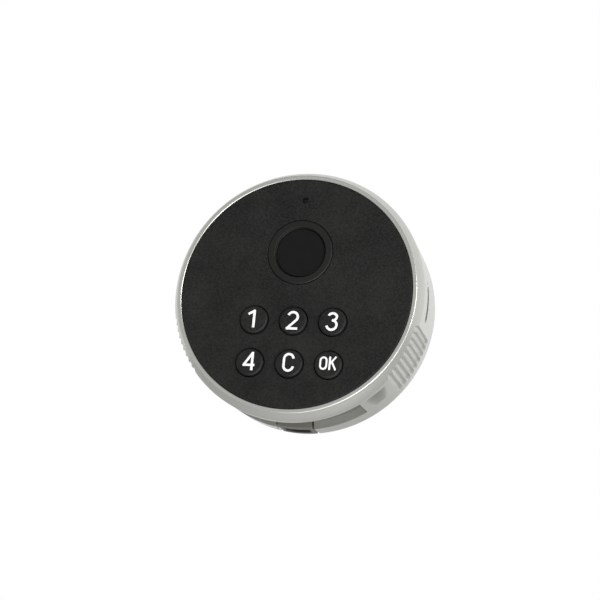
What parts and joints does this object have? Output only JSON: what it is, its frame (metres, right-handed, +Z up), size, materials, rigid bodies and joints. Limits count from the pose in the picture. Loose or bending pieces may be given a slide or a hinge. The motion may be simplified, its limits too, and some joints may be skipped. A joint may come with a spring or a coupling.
{
  "type": "fingerprint cam lock",
  "caption": "Round silver fingerprint and keypad knob on a threaded barrel that turns a flat cam a quarter turn to lock a door or drawer.",
  "frame": {"origin": "where the barrel's axis meets the door face, which is the rear of the gasket", "axes": "+Z up as the legends read, the face looks towards -Y and the barrel runs through the door along +Y, +X to the right as seen from the front"},
  "size_m": [0.0603, 0.0489, 0.0621],
  "materials": {
    "satin_silver": "fine satin silver plating on a die casting",
    "black_shell": "black, fine spark-eroded texture",
    "black_key": "black, fine texture, white legend",
    "sensor_black": "smooth black coated sensor face",
    "sensor_metal": "dark satin coated ring",
    "grey_insert": "warm grey matte moulding",
    "clear_pipe": "clear moulded light pipe",
    "circuit_green": "circuit board with solder mask",
    "component_black": "moulded electronic component",
    "switch_metal": "bright pressed metal",
    "screw_steel": "zinc-plated steel",
    "barrel_nickel": "nickel-plated die casting",
    "cam_steel": "zinc-plated pressed steel",
    "gasket_rubber": "soft black rubber",
    "drive_brass": "turned and milled",
    "chassis_plastic": "dark moulded plastic",
    "cell_wrap": "blue shrink-wrapped cell",
    "white_plastic": "milky lamp body and white legends"
  },
  "bodies": {
    "barrel": {"lock_barrel": "barrel_nickel", "stop_pin": "screw_steel", "door_gasket": "gasket_rubber", "retaining_ring": "screw_steel", "lock_washer": "cam_steel", "mounting_nut": "barrel_nickel"},
    "knob": {"housing_shell": "satin_silver", "port_insert": "grey_insert", "face_plate": "black_shell", "sensor_ring": "sensor_metal", "fingerprint_sensor": "sensor_black", "key_switches": "switch_metal", "light_pipe": "clear_pipe", "main_board": "circuit_green", "board_screws": "screw_steel", "status_led": "white_plastic", "buzzer": "component_black", "control_chip": "component_black", "battery_plug": "component_black", "board_header": "component_black", "power_socket": "switch_metal", "socket_board": "circuit_green", "back_plate": "chassis_plastic", "back_screws": "screw_steel", "clutch_motor": "switch_metal", "motor_cradle": "chassis_plastic", "battery_holder": "chassis_plastic", "battery_cell": "cell_wrap"},
    "cam_drive": {"spindle": "barrel_nickel", "drive_disc": "drive_brass", "disc_screw": "screw_steel", "cam": "cam_steel", "cam_washer": "screw_steel", "cam_screw": "screw_steel"},
    "clutch": {"clutch_pin": "drive_brass"},
    "motor_shaft": {"lead_screw": "screw_steel"},
    "key_1_cap": {"key_1": "black_key"},
    "key_2_cap": {"key_2": "black_key"},
    "key_3_cap": {"key_3": "black_key"},
    "key_4_cap": {"key_4": "black_key"},
    "key_c_cap": {"key_c": "black_key"},
    "key_ok_cap": {"key_ok": "black_key"}
  },
  "joints": [
    {"name": "knob_turn", "type": "hinge", "parent": "barrel", "child": "knob", "pos_m": [0, 0, 0], "axis": [0, 1, 0], "range_deg": [0, 90]},
    {"name": "cam_turn", "type": "hinge", "parent": "barrel", "child": "cam_drive", "pos_m": [0, 0, 0], "axis": [0, 1, 0], "range_deg": [0, 90]},
    {"name": "motor_turn", "type": "hinge", "parent": "knob", "child": "motor_shaft", "pos_m": [0.0166, -0.00985, 0], "axis": [-1, 0, 0], "range_deg": [0, 990]},
    {"name": "clutch_slide", "type": "slide", "parent": "knob", "child": "clutch", "axis": [-1, 0, 0], "range_m": [0, 0.0022]},
    {"name": "key_1_press", "type": "slide", "parent": "knob", "child": "key_1_cap", "axis": [0, 1, 0], "range_m": [0, 0.0004], "stiffness_N_per_m": 3000},
    {"name": "key_2_press", "type": "slide", "parent": "knob", "child": "key_2_cap", "axis": [0, 1, 0], "range_m": [0, 0.0004], "stiffness_N_per_m": 3000},
    {"name": "key_3_press", "type": "slide", "parent": "knob", "child": "key_3_cap", "axis": [0, 1, 0], "range_m": [0, 0.0004], "stiffness_N_per_m": 3000},
    {"name": "key_4_press", "type": "slide", "parent": "knob", "child": "key_4_cap", "axis": [0, 1, 0], "range_m": [0, 0.0004], "stiffness_N_per_m": 3000},
    {"name": "key_c_press", "type": "slide", "parent": "knob", "child": "key_c_cap", "axis": [0, 1, 0], "range_m": [0, 0.0004], "stiffness_N_per_m": 3000},
    {"name": "key_ok_press", "type": "slide", "parent": "knob", "child": "key_ok_cap", "axis": [0, 1, 0], "range_m": [0, 0.0004], "stiffness_N_per_m": 3000}
  ],
  "couplings": [
    {"joint": "cam_turn", "follows": "knob_turn", "ratio": 1},
    {"joint": "motor_turn", "follows": "clutch_slide", "rad_per_m": 7854}
  ]
}
